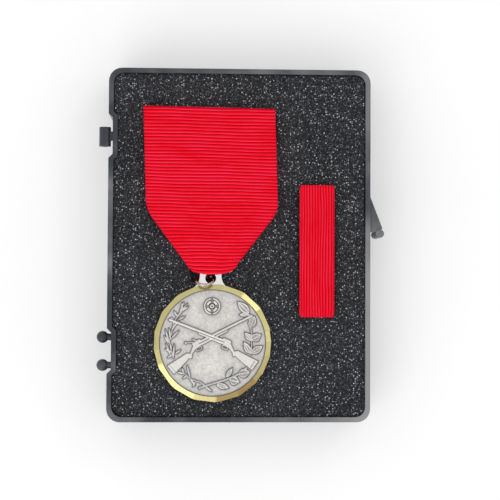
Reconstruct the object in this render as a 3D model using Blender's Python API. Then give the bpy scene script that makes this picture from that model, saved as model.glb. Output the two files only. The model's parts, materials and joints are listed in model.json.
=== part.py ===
"""Boxed service medal: an open case tray holding a medal on its ribbon and the matching ribbon bar.

The origin is the centre of the tray's underside. +X runs across the tray towards the ribbon bar,
+Y along the tray towards the top of the ribbon, and +Z up out of the tray. Everything is
modelled in millimetres, and each finished solid is scaled to metres.
"""

import math

import bmesh
import bpy
from mathutils import Matrix, Vector

MM = 0.001
GAP = 0.3
WELD = 0.0001

# Case tray and foam.
TRAY_WIDTH = 69.6
TRAY_LENGTH = 93.6
TRAY_HEIGHT = 16.0
TRAY_CORNER = 3.5
TRAY_WALL = 1.3
TRAY_FLOOR = 1.6
NOTCH_DEPTH = 1.1
NOTCHES = ((22.8, 34.6), (-34.1, -22.2))
BARREL_CENTRE = Vector((-35.8, 28.5, TRAY_HEIGHT - 1.75))
BARREL_RADIUS = 1.55
STUD_RADIUS = 1.6
STUD_CENTRES = (Vector((-36.0, -24.5, TRAY_HEIGHT - 1.9)), Vector((-36.0, -31.9, TRAY_HEIGHT - 1.9)))
LATCH_PIN_X = TRAY_WIDTH / 2 + 2.6
LATCH_PIN_Y = 3.2
LATCH_PIN_RADIUS = 1.1
FOAM_TOP = TRAY_HEIGHT - 0.7
POCKET_BOTTOM = TRAY_FLOOR - 1.0

# Ribbon drape: a folded ribbon, so a front and a back layer with room between them. Its top is
# sewn a little off centre, by the lean.
DRAPE_X = -7.3
DRAPE_TOP = 36.4
DRAPE_SHOULDER = 9.0
DRAPE_BOTTOM = -8.0
DRAPE_WIDTH = 35.0
DRAPE_LEAN = -0.9
DRAPE_TIP_WIDTH = 9.4
DRAPE_BACK_END = -4.8
RIBBON = 0.5
DRAPE_BACK = FOAM_TOP + GAP
DRAPE_FRONT = DRAPE_BACK + 2.6

# Medal disc and its eyelet tab.
DISC_X = -7.0
DISC_Y = -25.9
DISC_RADIUS = 15.5
RIM_WIDTH = 1.6
DISC_BACK = FOAM_TOP + GAP
DISC_THICKNESS = 2.4
FIELD_DEPTH = 0.6
RELIEF_HEIGHT = 0.5
TAB_BACK = DISC_BACK + 0.75
TAB_THICKNESS = 0.9
EYELET_X = -7.6
EYELET_Y = -8.9
EYELET_RADIUS = 1.4

# Suspension ring, leaning on the rim with its top inside the hanger tape.
RING_RADIUS = 2.25
RING_WIRE = 0.4
RING_CENTRE = Vector((-9.25, -9.3, 16.95))
RING_LEAN = math.radians(51.5)
RING_TOP = RING_CENTRE + RING_RADIUS * Vector((0, math.cos(RING_LEAN), -math.sin(RING_LEAN)))

# Brooch on the back of the drape.
BROOCH_Y = 30.5
BROOCH_LENGTH = 31.0
BROOCH_WIDTH = 6.5
BROOCH_PLATE = 0.8
BROOCH_BACK = FOAM_TOP - BROOCH_PLATE
PIN_Z = BROOCH_BACK - 1.5
PIN_PIVOT_X = DRAPE_X + 13.5
PIN_LENGTH = 27.2
PIN_RADIUS = 0.45
CATCH_X = DRAPE_X - 11.2
CATCH_LENGTH = 1.6

# Ribbon bar with two posts and two clutches.
BAR_X = 20.5
BAR_Y = -1.4
BAR_WIDTH = 9.5
BAR_LENGTH = 35.0
BAR_BACK = FOAM_TOP + GAP
BAR_THICKNESS = 2.2
BAR_FLAP = 2.5
POST_SPACING = 19.0
POST_RADIUS = 0.6
POST_TIP_Z = 8.6
CLUTCH_RADIUS = 4.2
CLUTCH_TOP = FOAM_TOP
WING_PIVOT_X = 2.4
WING_PIVOT_Z = 11.7


# ---------------------------------------------------------------- outlines


def arc(centre, radius, start, end, steps):
    """Points along an arc, both ends included; the angles are in degrees."""
    points = []
    for i in range(steps + 1):
        angle = math.radians(start + (end - start) * i / steps)
        points.append((centre[0] + radius * math.cos(angle), centre[1] + radius * math.sin(angle)))
    return points


def circle(centre, radius, steps=32):
    """A closed round outline."""
    return arc(centre, radius, 0, 360, steps)[:-1]


def rounded_rectangle(centre, width, length, corner, steps=6):
    """A rectangle with arcs for corners, counter-clockwise from its right side."""
    x, y = width / 2 - corner, length / 2 - corner
    outline = []
    for start, sign_x, sign_y in ((0, 1, 1), (90, -1, 1), (180, -1, -1), (270, 1, -1)):
        middle = (centre[0] + sign_x * x, centre[1] + sign_y * y)
        outline += arc(middle, corner, start, start + 90, steps)
    return outline


def placed(outline, angle, position, scale=1.0, flip=False):
    """An outline scaled, mirrored if asked, turned by an angle in degrees and moved."""
    turn = math.radians(angle)
    points = []
    for x, y in outline:
        x, y = scale * x, scale * (-y if flip else y)
        points.append(
            (
                position[0] + x * math.cos(turn) - y * math.sin(turn),
                position[1] + x * math.sin(turn) + y * math.cos(turn),
            )
        )
    return points[::-1] if flip else points


# ---------------------------------------------------------------- solids


def new_object(name, mesh_builder):
    """Link an object with the mesh the given bmesh holds."""
    bmesh.ops.recalc_face_normals(mesh_builder, faces=mesh_builder.faces)
    mesh = bpy.data.meshes.new(name)
    mesh_builder.to_mesh(mesh)
    mesh_builder.free()
    solid = bpy.data.objects.new(name, mesh)
    bpy.context.scene.collection.objects.link(solid)
    return solid


def prism(name, outline, bottom, top):
    """Extrude a flat outline between two heights."""
    builder = bmesh.new()
    lower = [builder.verts.new((x, y, bottom)) for x, y in outline]
    upper = [builder.verts.new((x, y, top)) for x, y in outline]
    builder.faces.new(lower[::-1])
    builder.faces.new(upper)
    for i in range(len(outline)):
        j = (i + 1) % len(outline)
        builder.faces.new((lower[i], lower[j], upper[j], upper[i]))
    return new_object(name, builder)


def box(name, low, high):
    """A box between two corners."""
    outline = [(low[0], low[1]), (high[0], low[1]), (high[0], high[1]), (low[0], high[1])]
    return prism(name, outline, low[2], high[2])


def lathe(name, profile, centre, axis="Z", steps=32):
    """Turn (radius, distance) pairs about an axis through the centre; both ends must reach radius 0."""
    builder = bmesh.new()
    rings = []
    for radius, distance in profile:
        if radius == 0:
            rings.append([builder.verts.new((0, 0, distance))])
        else:
            rings.append([builder.verts.new((x, y, distance)) for x, y in circle((0, 0), radius, steps)])
    for lower, upper in zip(rings, rings[1:]):
        for i in range(steps):
            j = (i + 1) % steps
            corners = [lower[i % len(lower)], lower[j % len(lower)]]
            corners += [upper[j % len(upper)], upper[i % len(upper)]]
            builder.faces.new(list(dict.fromkeys(corners)))
    turns = {"Z": (0, "X"), "X": (math.pi / 2, "Y"), "Y": (-math.pi / 2, "X")}
    angle, about = turns[axis]
    place = Matrix.Translation(centre) @ Matrix.Rotation(angle, 4, about)
    bmesh.ops.transform(builder, matrix=place, verts=builder.verts)
    return new_object(name, builder)


def rod(name, radius, length, centre, axis="Z", steps=32):
    """A plain round bar whose middle is at the centre."""
    half = length / 2
    return lathe(name, [(0, -half), (radius, -half), (radius, half), (0, half)], centre, axis, steps)


def wire_ring(name, radius, wire, centre, lean, steps=48, sides=12):
    """A closed ring of round wire lying in the XY plane, then leaned about the X direction."""
    builder = bmesh.new()
    loops = []
    for i in range(steps):
        around = 2 * math.pi * i / steps
        loop = []
        for j in range(sides):
            across = 2 * math.pi * j / sides
            reach = radius + wire * math.cos(across)
            loop.append(
                builder.verts.new(
                    (reach * math.cos(around), reach * math.sin(around), wire * math.sin(across))
                )
            )
        loops.append(loop)
    for i in range(steps):
        for j in range(sides):
            this, after = loops[i], loops[(i + 1) % steps]
            k = (j + 1) % sides
            builder.faces.new((this[j], after[j], after[k], this[k]))
    place = Matrix.Translation(centre) @ Matrix.Rotation(-lean, 4, "X")
    bmesh.ops.transform(builder, matrix=place, verts=builder.verts)
    return new_object(name, builder)


def combine(target, other, operation):
    """Apply an exact boolean to the target and remove the other solid."""
    modifier = target.modifiers.new("combine", "BOOLEAN")
    modifier.solver = "EXACT"
    modifier.operation = operation
    modifier.object = other
    depsgraph = bpy.context.evaluated_depsgraph_get()
    mesh = bpy.data.meshes.new_from_object(target.evaluated_get(depsgraph))
    builder = bmesh.new()
    builder.from_mesh(mesh)
    bmesh.ops.remove_doubles(builder, verts=builder.verts, dist=WELD)
    builder.to_mesh(mesh)
    builder.free()
    target.modifiers.clear()
    target.data = mesh
    bpy.data.objects.remove(other)


def cut(target, *others):
    for other in others:
        combine(target, other, "DIFFERENCE")


def join(target, *others):
    for other in others:
        combine(target, other, "UNION")


# ---------------------------------------------------------------- finishing


def finish(solid, material, pivot=None):
    """Scale a solid to metres, give it its material and put its origin on its joint."""
    solid.data.name = solid.name
    solid.data.transform(Matrix.Scale(MM, 4))
    solid.data.materials.clear()
    solid.data.materials.append(material)
    solid.data.shade_smooth()
    solid.data.set_sharp_from_angle(angle=math.radians(32))
    if pivot is not None:
        point = Vector(pivot) * MM
        solid.data.transform(Matrix.Translation(-point))
        solid.location = point


def material(name, colour, metallic=0.0, roughness=0.5, sheen=0.0):
    """A plain principled material."""
    made = bpy.data.materials.new(name)
    made.use_nodes = True
    shader = made.node_tree.nodes["Principled BSDF"]
    shader.inputs["Base Color"].default_value = (*colour, 1)
    shader.inputs["Metallic"].default_value = metallic
    shader.inputs["Roughness"].default_value = roughness
    shader.inputs["Sheen Weight"].default_value = sheen
    return made


# ---------------------------------------------------------------- case


def hinge_barrel():
    """The barrel at the upper left that a lid's hinge turns on, on a web from the notch's wall."""
    barrel = rod("hinge_barrel", BARREL_RADIUS, 5.1, BARREL_CENTRE, "Y")
    cut(barrel, rod("barrel_bore", 0.7, 6.0, BARREL_CENTRE, "Y"))
    inside_wall = -TRAY_WIDTH / 2 + NOTCH_DEPTH + 0.5
    x, y, z = BARREL_CENTRE
    low = (x + BARREL_RADIUS - 0.35, y - 1.0, z - 1.1)
    join(barrel, box("barrel_web", low, (inside_wall, y + 1.4, z + 0.8)))
    return barrel


def ball_stud(centre):
    """A ball on a neck at the lower left, for a lid's other hinge half."""
    steps = 10
    profile = [(0, -STUD_RADIUS)]
    for i in range(1, steps):
        angle = math.pi * i / steps
        profile.append((STUD_RADIUS * math.sin(angle), -STUD_RADIUS * math.cos(angle)))
    profile.append((0, STUD_RADIUS))
    ball = lathe("ball_stud", profile, centre, "Y", 24)
    reach = -TRAY_WIDTH / 2 + NOTCH_DEPTH + 0.5 - centre.x
    join(ball, rod("stud_neck", 0.9, reach, centre + Vector((reach / 2, 0, 0)), "X", 16))
    return ball


def latch_tab():
    """The gusset on the right wall with the round pin that a lid's catch hooks over."""
    inside_wall = TRAY_WIDTH / 2 - 0.5
    near = [(inside_wall, LATCH_PIN_Y + 0.4), (LATCH_PIN_X, LATCH_PIN_Y + 0.4)]
    far = [(LATCH_PIN_X + 0.7, LATCH_PIN_Y + 1.5), (inside_wall, LATCH_PIN_Y + 11.3)]
    tab = prism("latch_tab", near + far, TRAY_HEIGHT - 3.0, TRAY_HEIGHT - 0.9)
    centre = (LATCH_PIN_X, LATCH_PIN_Y, TRAY_HEIGHT - 5.7)
    join(tab, rod("latch_pin", LATCH_PIN_RADIUS, 11.0, centre, "Z", 24))
    return tab


def cut_notches(target, reach, margin, low, high):
    """Cut a sloped recess into the left side at each hinge, down to a reach from the tray's edge."""
    wall = -TRAY_WIDTH / 2
    for bottom, top in NOTCHES:
        bottom, top = bottom - margin, top + margin
        notch = [(wall - 1, bottom), (wall, bottom), (wall + reach, bottom + reach)]
        notch += [(wall + reach, top - reach), (wall, top), (wall - 1, top)]
        cut(target, prism("notch", notch, low, high))


def case_tray():
    """The moulded tray, whose left wall steps in round the hinge barrel and the ball studs."""
    tray = prism(
        "case_tray",
        rounded_rectangle((0, 0), TRAY_WIDTH, TRAY_LENGTH, TRAY_CORNER),
        0,
        TRAY_HEIGHT,
    )
    inner = rounded_rectangle(
        (0, 0), TRAY_WIDTH - 2 * TRAY_WALL, TRAY_LENGTH - 2 * TRAY_WALL, TRAY_CORNER - TRAY_WALL + 0.5
    )
    cavity = prism("tray_cavity", inner, TRAY_FLOOR, TRAY_HEIGHT + 1)
    cut_notches(cavity, TRAY_WALL + NOTCH_DEPTH, TRAY_WALL * math.sqrt(2), 0, TRAY_HEIGHT + 2)
    cut(tray, cavity)
    cut_notches(tray, NOTCH_DEPTH, 0, -1, TRAY_HEIGHT + 1)
    join(tray, hinge_barrel(), latch_tab())
    for centre in STUD_CENTRES:
        join(tray, ball_stud(centre))
    return tray


def foam_insert():
    """The foam block, cut through under the brooch and the bar and relieved under the ring."""
    width = TRAY_WIDTH - 2 * TRAY_WALL - 2 * GAP
    length = TRAY_LENGTH - 2 * TRAY_WALL - 2 * GAP
    outline = rounded_rectangle((0, 0), width, length, 2.4)
    foam = prism("foam_insert", outline, TRAY_FLOOR + GAP, FOAM_TOP)
    reach = TRAY_WALL + NOTCH_DEPTH + GAP
    cut_notches(foam, reach, (TRAY_WALL + GAP) * math.sqrt(2), 0, TRAY_HEIGHT)
    brooch = rounded_rectangle((DRAPE_X, BROOCH_Y), 33.4, 9.0, 1.5)
    bar = rounded_rectangle((BAR_X, BAR_Y), BAR_WIDTH - 0.5, BAR_LENGTH - 2.0, 1.5)
    ring = rounded_rectangle((RING_CENTRE.x, -3.9), 7.0, 12.2, 1.0)
    cut(foam, prism("brooch_pocket", brooch, POCKET_BOTTOM, FOAM_TOP + 1))
    cut(foam, prism("bar_slot", bar, POCKET_BOTTOM, FOAM_TOP + 1))
    cut(foam, prism("ring_relief", ring, RING_TOP.z - 1.5, FOAM_TOP + 1))
    return foam


# ---------------------------------------------------------------- drape


def drape_outline(inset, top, bottom):
    """The drape's five-sided outline, leaning at the top and shrunk by an inset on its slanted sides."""
    half, tip = DRAPE_WIDTH / 2, DRAPE_TIP_WIDTH / 2
    run = (half - tip) / (DRAPE_SHOULDER - DRAPE_BOTTOM)
    slant = inset * math.hypot(1, run)

    def reach(y):
        return min(half, half - (DRAPE_SHOULDER - y) * run - slant)

    shoulder = DRAPE_SHOULDER + slant / run
    right = [(DRAPE_X + half, shoulder), (DRAPE_X + half + DRAPE_LEAN, top)]
    left = [(DRAPE_X - half + DRAPE_LEAN, top), (DRAPE_X - half, shoulder)]
    tip_half = reach(bottom)
    crown = []
    for i in range(9):
        across = -1 + i / 4
        crown.append((DRAPE_X + across * tip_half, bottom - 0.5 * (1 - across * across)))
    return right + left + crown


def ribbon_drape():
    """The ribbon folded into front and back layers, open at its woven edges and at the tip."""
    drape = prism(
        "ribbon_drape", drape_outline(0, DRAPE_TOP, DRAPE_BOTTOM + 0.5), DRAPE_BACK, DRAPE_FRONT
    )
    hollow = drape_outline(RIBBON, DRAPE_TOP - RIBBON, DRAPE_BOTTOM - 1)
    hollow = [(x + math.copysign(1, x - DRAPE_X) if y > DRAPE_SHOULDER else x, y) for x, y in hollow]
    cut(drape, prism("drape_hollow", hollow, DRAPE_BACK + RIBBON, DRAPE_FRONT - RIBBON))
    low = (DRAPE_X - DRAPE_WIDTH, DRAPE_BOTTOM - 5, DRAPE_BACK - 1)
    high = (DRAPE_X + DRAPE_WIDTH, DRAPE_BACK_END, DRAPE_FRONT - RIBBON - 0.01)
    cut(drape, box("back_end", low, high))
    return drape


def drape_stiffener():
    """The stiff card between the ribbon's layers that keeps the drape flat."""
    outline = drape_outline(RIBBON + GAP, DRAPE_TOP - RIBBON - GAP, DRAPE_BACK_END + 0.8)
    inner = [(DRAPE_X + (x - DRAPE_X) * 0.97, y) for x, y in outline]
    middle = (DRAPE_BACK + DRAPE_FRONT) / 2
    return prism("drape_stiffener", inner, middle - 0.3, middle + 0.3)


def hanger_tape():
    """The narrow tape on the back of the drape whose loop holds the ring."""
    width = 1.6
    inner = RING_WIRE + GAP
    loop = rod("hanger_tape", inner + 0.3, width, RING_TOP, "X")
    low = (RING_TOP.x - width / 2, RING_TOP.y + inner + 0.1, FOAM_TOP - 0.35)
    join(loop, box("tape_tail", low, (RING_TOP.x + width / 2, 1.5, FOAM_TOP)))
    cut(loop, rod("tape_bore", inner, width + 2, RING_TOP, "X"))
    return loop


def suspension_ring():
    return wire_ring("suspension_ring", RING_RADIUS, RING_WIRE, RING_CENTRE, RING_LEAN)


# ---------------------------------------------------------------- medal disc


def rifle_outline():
    """A bolt rifle from muzzle to butt along +X, in units of the disc's radius."""
    above = [(0, 0.022), (0.53, 0.022), (0.53, 0.045), (1.1, 0.045), (1.2, -0.09), (1.26, -0.07)]
    below = [(1.23, -0.17), (1.12, -0.13), (0.98, -0.13), (0.93, -0.05), (0.53, -0.045)]
    return above + [(1.645, -0.12), (1.61, -0.28)] + below + [(0.53, -0.022), (0, -0.022)]


def leaf_outline():
    """A pointed leaf along +X with its middle at the origin, in units of its length."""
    upper = arc((0, -0.46), 0.68, 43, 137, 6)
    lower = arc((0, 0.46), 0.68, 223, 317, 6)
    return upper + lower


def disc_spot(x, y):
    """A place on the face, given in units of the disc's radius, in millimetres."""
    return (DISC_X + x * DISC_RADIUS, DISC_Y + y * DISC_RADIUS)


def wreath_spots():
    """(angle round the disc, distance from its centre, turn of the leaf) for each leaf."""
    spots = []
    for i in range(6):
        side = 1 if i % 2 else -1
        spots.append((128 + 14 * i, 0.74 + 0.05 * side, 128 + 14 * i - 90 + 24 * side))
        spots.append((52 - 14 * i, 0.74 + 0.06 * side, 52 - 14 * i + 90 + 28 * side))
    for i in range(6):
        side = 1 if i % 2 else -1
        spots.append((222 + 19 * i, 0.76 + 0.05 * side, 222 + 19 * i + 90 + 20 * side))
    return spots


def raised_target(height):
    """The target above the rifles: a disc with a round groove between its ring and its centre."""
    centre = (*disc_spot(-0.01, 0.61), 0)
    foot = height - RELIEF_HEIGHT - 0.2
    target = rod("target", 0.145 * DISC_RADIUS, height - foot, (centre[0], centre[1], (height + foot) / 2))
    groove = rod("groove", 0.105 * DISC_RADIUS, 0.4, (centre[0], centre[1], height))
    cut(groove, rod("groove_core", 0.045 * DISC_RADIUS, 1, (centre[0], centre[1], height)))
    cut(target, groove)
    return target


def medal_disc():
    """The struck disc with its faceted rim, sunk field, relief and eyelet tab."""
    top = DISC_BACK + DISC_THICKNESS
    field = top - FIELD_DEPTH
    face = DISC_RADIUS - RIM_WIDTH
    profile = [(0, DISC_BACK), (DISC_RADIUS - 0.3, DISC_BACK), (DISC_RADIUS, DISC_BACK + 0.3)]
    profile += [(DISC_RADIUS, top - 1.0), (face, top), (face - 0.25, field), (0, field)]
    disc = lathe("medal_disc", profile, (DISC_X, DISC_Y, 0), steps=48)

    tab = [(-4.8, -13.0), (4.8, -13.0), (4.2, -11.2), (3.1, -9.8), (2.8, -7.6)]
    tab += arc((0, -8.0), 2.4, 20, 160, 8)
    tab += [(-2.8, -7.6), (-3.1, -9.8), (-4.2, -11.2)]
    eyelet_tab = [(EYELET_X + x, y) for x, y in tab]
    join(disc, prism("eyelet_tab", eyelet_tab, TAB_BACK, TAB_BACK + TAB_THICKNESS))
    eyelet = (EYELET_X, EYELET_Y, TAB_BACK)
    cut(disc, rod("eyelet_hole", EYELET_RADIUS, 4, eyelet))

    upper_rifle = placed(rifle_outline(), -21, disc_spot(-0.73, 0.39), DISC_RADIUS)
    lower_rifle = placed(rifle_outline(), 180 + 29, disc_spot(0.66, 0.47), DISC_RADIUS, flip=True)
    foot = field - 0.2
    join(disc, prism("lower_rifle", lower_rifle, foot, field + RELIEF_HEIGHT - 0.1))
    join(disc, prism("upper_rifle", upper_rifle, foot, field + RELIEF_HEIGHT))
    join(disc, raised_target(field + RELIEF_HEIGHT - 0.05))
    for angle, distance, turn in wreath_spots():
        around = math.radians(angle)
        spot = disc_spot(distance * math.cos(around), distance * math.sin(around))
        leaf = placed(leaf_outline(), turn, spot, 0.17 * DISC_RADIUS)
        join(disc, prism("leaf", leaf, foot, field + RELIEF_HEIGHT - 0.15))
    return disc


# ---------------------------------------------------------------- brooch


def brooch_plate():
    """The backing plate with two pivot lugs and the open barrel that holds the catch."""
    low = (DRAPE_X - BROOCH_LENGTH / 2, BROOCH_Y - BROOCH_WIDTH / 2, BROOCH_BACK)
    high = (DRAPE_X + BROOCH_LENGTH / 2, BROOCH_Y + BROOCH_WIDTH / 2, BROOCH_BACK + BROOCH_PLATE)
    plate = box("brooch_plate", low, high)
    for side in (-1, 1):
        near, far = sorted((BROOCH_Y + side * 0.9, BROOCH_Y + side * 1.7))
        low = (PIN_PIVOT_X - 1.2, near, PIN_Z - 1.2)
        join(plate, box("pivot_lug", low, (PIN_PIVOT_X + 1.2, far, BROOCH_BACK + 0.2)))
    cut(plate, rod("lug_bore", 0.7, 6, (PIN_PIVOT_X, BROOCH_Y, PIN_Z), "Y"))
    barrel = rod("catch_barrel", 2.0, CATCH_LENGTH, (CATCH_X, BROOCH_Y, PIN_Z), "X")
    cut(barrel, rod("barrel_bore", 1.45, 4, (CATCH_X, BROOCH_Y, PIN_Z), "X"))
    low = (CATCH_X - 2, BROOCH_Y - 1.1, PIN_Z - 3)
    cut(barrel, box("barrel_mouth", low, (CATCH_X + 2, BROOCH_Y + 1.1, PIN_Z)))
    roof = (CATCH_X - 2, BROOCH_Y - 2.5, BROOCH_BACK + 0.3)
    cut(barrel, box("barrel_roof", roof, (CATCH_X + 2, BROOCH_Y + 2.5, BROOCH_BACK + 2)))
    join(plate, barrel)
    return plate


def brooch_pin():
    """The sharp pin with the eye it swings on."""
    pivot = (PIN_PIVOT_X, BROOCH_Y, PIN_Z)
    profile = [(0, -PIN_LENGTH), (PIN_RADIUS * 0.4, 0.4 - PIN_LENGTH), (PIN_RADIUS, 3 - PIN_LENGTH)]
    profile += [(PIN_RADIUS, -0.9), (0, -0.9)]
    pin = lathe("brooch_pin", profile, pivot, "X", 16)
    join(pin, rod("pin_eye", 1.3, 1.2, pivot, "Y"))
    cut(pin, rod("eye_bore", 0.7, 3, pivot, "Y"))
    return pin


def pin_rivet():
    """The headed rivet through the lugs and the pin's eye."""
    profile = [(0, -2.4), (0.9, -2.4), (0.9, -2.0), (0.4, -2.0)]
    profile += [(0.4, 2.0), (0.9, 2.0), (0.9, 2.4), (0, 2.4)]
    return lathe("pin_rivet", profile, (PIN_PIVOT_X, BROOCH_Y, PIN_Z), "Y", 24)


def catch_sleeve():
    """The turning sleeve inside the barrel, open below, with the lever that turns it."""
    centre = (CATCH_X, BROOCH_Y, PIN_Z)
    length = CATCH_LENGTH + 1.6
    sleeve = rod("catch_sleeve", 1.15, length, centre, "X")
    end = CATCH_X + length / 2
    low = (end - 0.5, BROOCH_Y + 0.8, PIN_Z - 0.35)
    join(sleeve, box("catch_lever", low, (end, BROOCH_Y + 3.0, PIN_Z + 0.35)))
    cut(sleeve, rod("sleeve_bore", 0.75, length + 2, centre, "X"))
    low = (CATCH_X - length, BROOCH_Y - 0.75, PIN_Z - 2)
    cut(sleeve, box("sleeve_mouth", low, (CATCH_X + length, BROOCH_Y + 0.75, PIN_Z)))
    return sleeve


# ---------------------------------------------------------------- ribbon bar


def bar_ribbon():
    """The ribbon wrapped over the bar's long edges, with a flap along each side of the back."""
    low = (BAR_X - BAR_WIDTH / 2, BAR_Y - BAR_LENGTH / 2, BAR_BACK)
    high = (BAR_X + BAR_WIDTH / 2, BAR_Y + BAR_LENGTH / 2, BAR_BACK + BAR_THICKNESS)
    wrap = box("bar_ribbon", low, high)
    low = (low[0] + RIBBON, low[1] - 1, low[2] + RIBBON)
    high = (high[0] - RIBBON, high[1] + 1, high[2] - RIBBON)
    cut(wrap, box("wrap_hollow", low, high))
    half = BAR_WIDTH / 2 - RIBBON - BAR_FLAP
    low = (BAR_X - half, low[1], BAR_BACK - 1)
    cut(wrap, box("flap_opening", low, (BAR_X + half, high[1], BAR_BACK + RIBBON + 0.1)))
    return wrap


def bar_plate():
    """The metal strip inside the wrapped ribbon."""
    half_width = BAR_WIDTH / 2 - RIBBON - GAP
    half_length = BAR_LENGTH / 2 - 0.4
    low = (BAR_X - half_width, BAR_Y - half_length, BAR_BACK + RIBBON + GAP)
    high = (BAR_X + half_width, BAR_Y + half_length, BAR_BACK + BAR_THICKNESS - RIBBON - GAP)
    return box("bar_plate", low, high)


def clutch_post(name, y):
    """A headed post with a grip groove near its point."""
    head = BAR_BACK + RIBBON
    profile = [(0, POST_TIP_Z), (0.15, POST_TIP_Z + 0.1), (POST_RADIUS, POST_TIP_Z + 1.3)]
    profile += [(POST_RADIUS, POST_TIP_Z + 2.2), (0.45, POST_TIP_Z + 2.4), (0.45, POST_TIP_Z + 2.9)]
    profile += [(POST_RADIUS, POST_TIP_Z + 3.1), (POST_RADIUS, head - 0.3)]
    profile += [(1.3, head - 0.3), (1.3, head), (0, head)]
    return lathe(name, profile, (BAR_X, y, 0), "Z", 24)


def clutch_base(name, y):
    """The clutch's round cap with its turned-down edge and centre tube."""
    rim = CLUTCH_TOP - 1.6
    profile = [(0, CLUTCH_TOP), (CLUTCH_RADIUS - 0.4, CLUTCH_TOP), (CLUTCH_RADIUS, CLUTCH_TOP - 0.4)]
    profile += [(CLUTCH_RADIUS, rim), (CLUTCH_RADIUS - 0.5, rim), (CLUTCH_RADIUS - 0.5, CLUTCH_TOP - 0.8)]
    profile += [(1.7, CLUTCH_TOP - 0.8), (1.7, WING_PIVOT_Z + 0.8), (0, WING_PIVOT_Z + 0.8)]
    base = lathe(name, profile[::-1], (BAR_X, y, 0), "Z", 32)
    cut(base, rod("post_bore", POST_RADIUS + GAP, 8, (BAR_X, y, CLUTCH_TOP - 2)))
    return base


def clutch_wing(name, y, side):
    """One squeezing lever: a jaw beside the post, a bend at the pivot and an arm flared outwards."""
    thick = 0.25
    jaw, elbow, end = POST_RADIUS + GAP + 0.05, WING_PIVOT_X, WING_PIVOT_X + 1.2
    lower = WING_PIVOT_Z - 1.9
    section = [(jaw, WING_PIVOT_Z - thick), (elbow - thick, WING_PIVOT_Z - thick), (end - thick, lower)]
    section += [(end + thick, lower), (elbow + thick, WING_PIVOT_Z + thick), (jaw, WING_PIVOT_Z + thick)]
    builder = bmesh.new()
    near = [builder.verts.new((BAR_X + side * x, y - 2.5, z)) for x, z in section]
    far = [builder.verts.new((BAR_X + side * x, y + 2.5, z)) for x, z in section]
    builder.faces.new(near)
    builder.faces.new(far[::-1])
    for i in range(len(section)):
        j = (i + 1) % len(section)
        builder.faces.new((near[j], near[i], far[i], far[j]))
    return new_object(name, builder)


# ---------------------------------------------------------------- assembly


def build():
    for old in list(bpy.data.objects):
        bpy.data.objects.remove(old)

    plastic = material("black_plastic", (0.05, 0.055, 0.065), roughness=0.45)
    foam = material("dark_foam", (0.035, 0.035, 0.04), roughness=0.95)
    red = material("red_grosgrain", (0.75, 0.01, 0.03), roughness=0.7, sheen=0.4)
    card = material("pale_card", (0.7, 0.68, 0.62), roughness=0.85)
    tape = material("red_tape", (0.6, 0.01, 0.03), roughness=0.8)
    silver = material("silver_plate", (0.75, 0.74, 0.71), metallic=1.0, roughness=0.35)
    wire = material("bright_wire", (0.8, 0.8, 0.78), metallic=1.0, roughness=0.2)
    nickel = material("nickel_plate", (0.62, 0.6, 0.56), metallic=1.0, roughness=0.3)
    steel = material("pin_steel", (0.6, 0.6, 0.62), metallic=1.0, roughness=0.25)
    brass = material("clutch_brass", (0.75, 0.56, 0.24), metallic=1.0, roughness=0.3)

    finish(case_tray(), plastic)
    finish(foam_insert(), foam)
    finish(ribbon_drape(), red)
    finish(drape_stiffener(), card)
    finish(hanger_tape(), tape)
    finish(suspension_ring(), wire, RING_TOP)
    finish(medal_disc(), silver, (EYELET_X, EYELET_Y, TAB_BACK + TAB_THICKNESS / 2))
    finish(brooch_plate(), nickel)
    finish(brooch_pin(), steel, (PIN_PIVOT_X, BROOCH_Y, PIN_Z))
    finish(pin_rivet(), steel)
    finish(catch_sleeve(), nickel, (CATCH_X, BROOCH_Y, PIN_Z))
    finish(bar_ribbon(), red)
    finish(bar_plate(), nickel)
    for place, side in (("upper", 1), ("lower", -1)):
        y = BAR_Y + side * POST_SPACING / 2
        finish(clutch_post(f"{place}_clutch_post", y), steel)
        finish(clutch_base(f"{place}_clutch_base", y), brass, (BAR_X, y, CLUTCH_TOP))
        for wing, direction in (("left", -1), ("right", 1)):
            pivot = (BAR_X + direction * WING_PIVOT_X, y, WING_PIVOT_Z)
            finish(clutch_wing(f"{place}_clutch_{wing}_wing", y, direction), brass, pivot)


build()
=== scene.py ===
"""Looks of the boxed service medal: the tray, its foam bed, the medal on its ribbon and the ribbon bar."""

import json
import math

import bmesh
import bpy
import numpy as np
from mathutils import Matrix, Vector, noise


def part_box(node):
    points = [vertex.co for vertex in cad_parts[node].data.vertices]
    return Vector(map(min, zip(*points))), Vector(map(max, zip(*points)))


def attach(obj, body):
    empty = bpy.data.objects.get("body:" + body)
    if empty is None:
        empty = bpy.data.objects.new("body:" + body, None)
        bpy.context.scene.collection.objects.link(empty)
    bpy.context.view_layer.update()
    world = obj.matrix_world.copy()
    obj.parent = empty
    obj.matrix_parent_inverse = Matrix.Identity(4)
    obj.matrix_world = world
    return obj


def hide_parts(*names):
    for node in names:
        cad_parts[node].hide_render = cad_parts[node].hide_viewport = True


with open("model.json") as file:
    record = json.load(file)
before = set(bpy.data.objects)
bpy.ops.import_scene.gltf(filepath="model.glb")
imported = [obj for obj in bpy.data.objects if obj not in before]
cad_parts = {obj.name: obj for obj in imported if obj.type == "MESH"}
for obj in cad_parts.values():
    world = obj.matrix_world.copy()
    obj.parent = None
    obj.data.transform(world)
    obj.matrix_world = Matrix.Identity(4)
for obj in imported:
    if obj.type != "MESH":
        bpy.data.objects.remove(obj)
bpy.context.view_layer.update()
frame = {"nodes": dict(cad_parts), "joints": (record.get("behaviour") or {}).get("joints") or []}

MM = 0.001


# ---------------------------------------------------------------- frame sizes, in millimetres


def node_box(name):
    """A CAD node's lowest and highest corners in millimetres."""
    low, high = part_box(name)
    return low / MM, high / MM


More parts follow.
